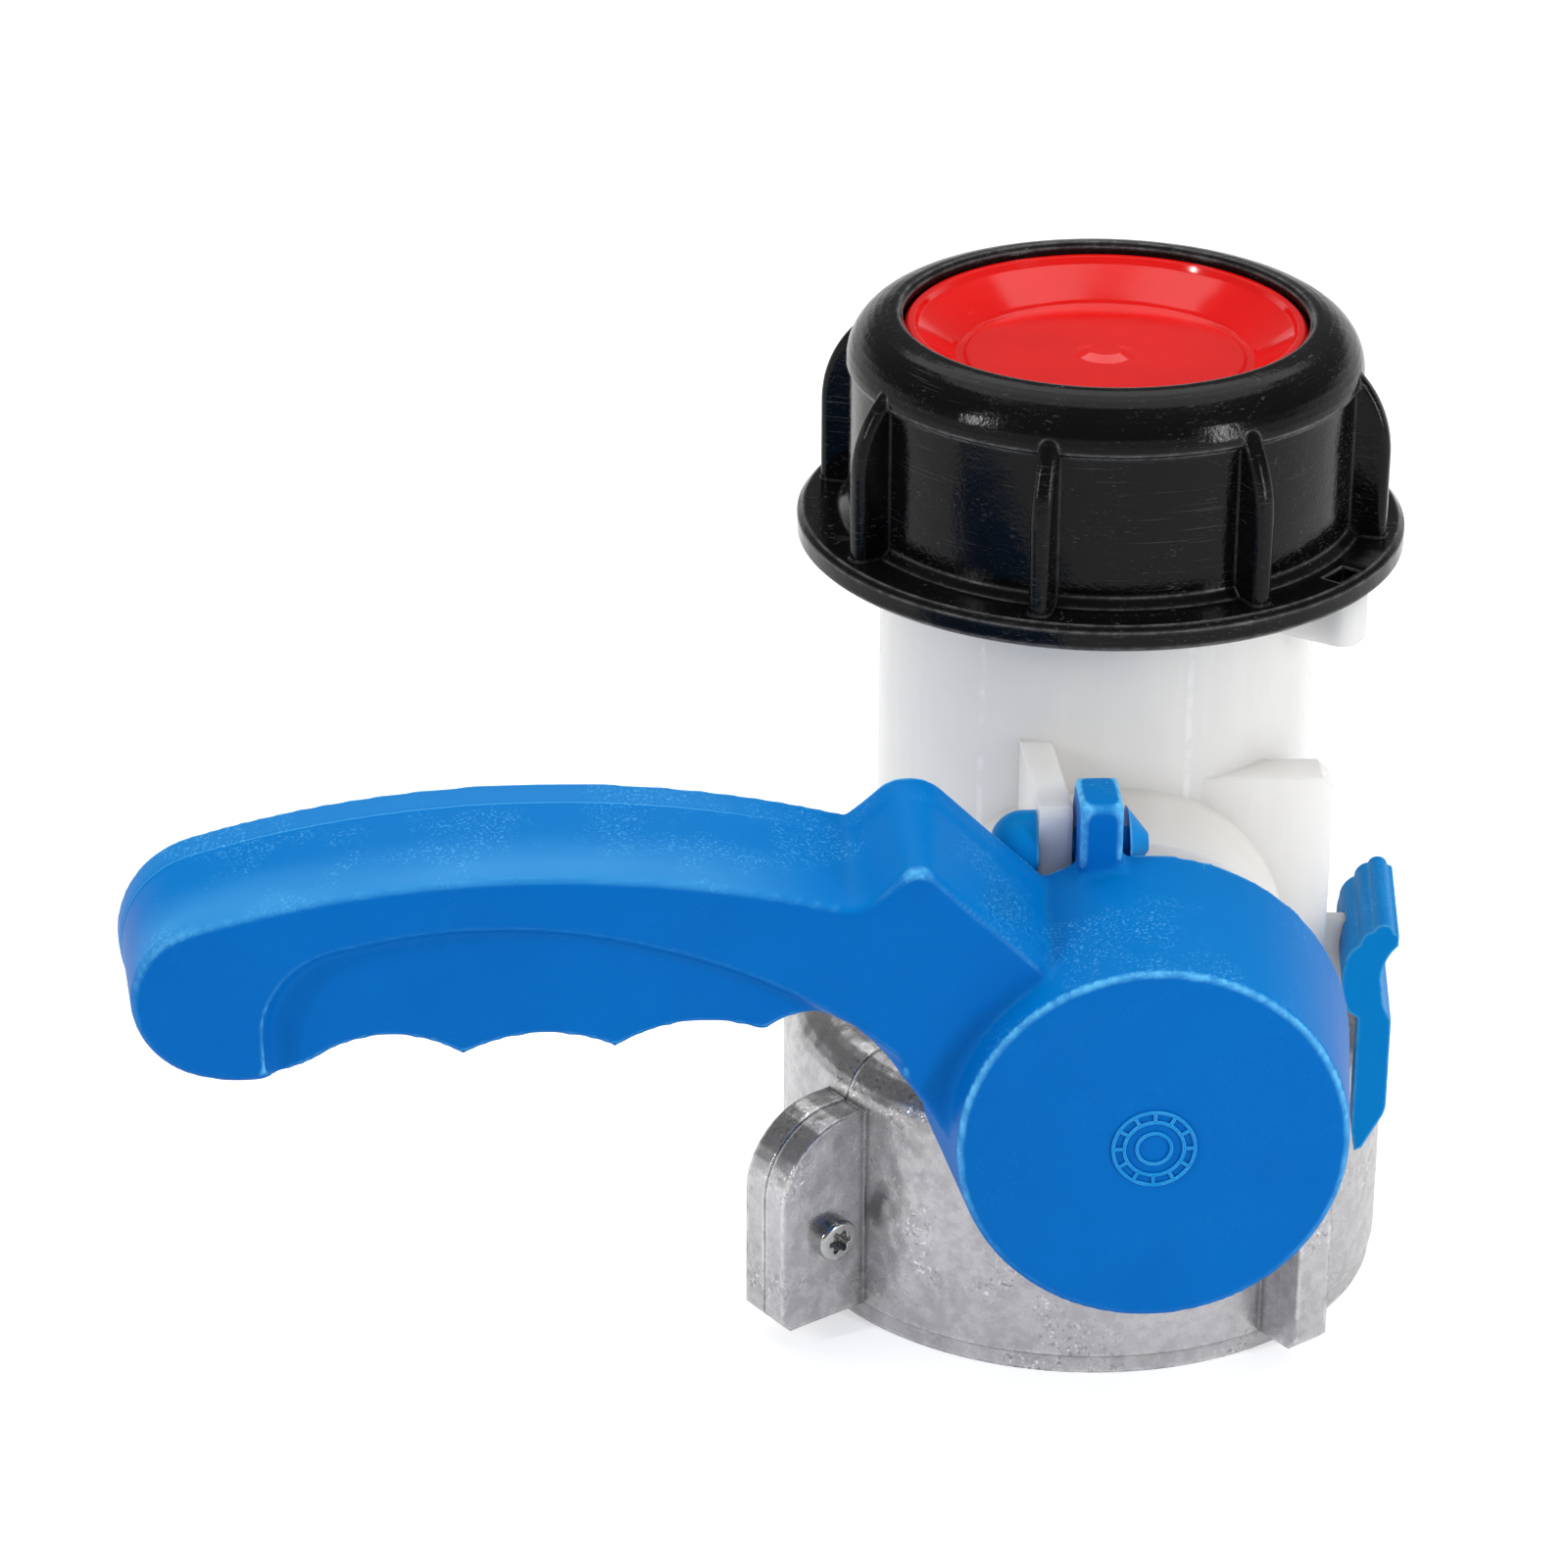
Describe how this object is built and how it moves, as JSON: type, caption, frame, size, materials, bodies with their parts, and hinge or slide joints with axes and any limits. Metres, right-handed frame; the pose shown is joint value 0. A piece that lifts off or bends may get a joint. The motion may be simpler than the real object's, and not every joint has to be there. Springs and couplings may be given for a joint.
{
  "type": "ibc butterfly valve",
  "caption": "Butterfly outlet valve for a bulk liquid container: threaded metal collar below, plastic flow tube with a side lever, screw cap with a sealing insert on top.",
  "frame": {"origin": "centre of the collar's lower opening, on the plane of its lower edge", "axes": "+Z along the flow line from the tank to the outlet cap; the stem runs along Y with the lever's hub at -Y; the lever points along -X with the valve shut"},
  "size_m": [0.1758, 0.1281, 0.1408],
  "materials": {
    "body_white": "natural, slightly translucent, smooth",
    "collar_alloy": "as cast, mottled",
    "screw_steel": "zinc plated",
    "stem_plastic": "glass-filled, smooth",
    "pin_steel": "ground",
    "seal_rubber": "matt",
    "gasket_rubber": "matt",
    "lever_blue": "satin, scuffed along the top edge",
    "cap_black": "semi-gloss with fine scratches",
    "insert_red": "glossy"
  },
  "bodies": {
    "valve": {"valve_body": "body_white", "inlet_gasket": "gasket_rubber", "stem_washer": "pin_steel", "seal_pin_head": "lever_blue"},
    "lever_and_disc": {"lever": "lever_blue", "lever_pin": "pin_steel", "stem": "stem_plastic", "stem_oring_inner": "seal_rubber", "stem_oring_outer": "seal_rubber", "butterfly_disc": "stem_plastic", "disc_seal": "seal_rubber", "disc_pin": "pin_steel", "seal_pin_barb": "lever_blue"},
    "cap_inner": {"cap_insert": "insert_red", "cap_gasket": "gasket_rubber"},
    "cap_outer": {"cap_ring": "cap_black"},
    "collar": {"collar_front_half": "collar_alloy", "collar_rear_half": "collar_alloy", "collar_screw_long_ear": "screw_steel", "collar_screw_short_ear": "screw_steel"},
    "slide": {"locking_slide": "lever_blue"}
  },
  "joints": [
    {"name": "lever_turn", "type": "hinge", "parent": "valve", "child": "lever_and_disc", "pos_m": [0, 0, 0.06], "axis": [0, 1, 0], "range_deg": [0, 90]},
    {"name": "cap_lift", "type": "slide", "parent": "valve", "child": "cap_inner", "axis": [0, 0, 1], "range_m": [0, 0.015]},
    {"name": "cap_turn", "type": "hinge", "parent": "cap_inner", "child": "cap_outer", "pos_m": [0, 0, 0.125], "axis": [0, 0, 1], "range_deg": [0, 900]},
    {"name": "collar_turn", "type": "hinge", "parent": "valve", "child": "collar", "pos_m": [0, 0, 0.02], "axis": [0, 0, 1], "range_deg": [-64, 7]},
    {"name": "slide_lift", "type": "slide", "parent": "valve", "child": "slide", "axis": [0, 0, 1], "range_m": [0, 0.007]}
  ],
  "couplings": [
    {"joint": "cap_lift", "follows": "cap_turn", "m_per_rad": 0.00095492}
  ]
}
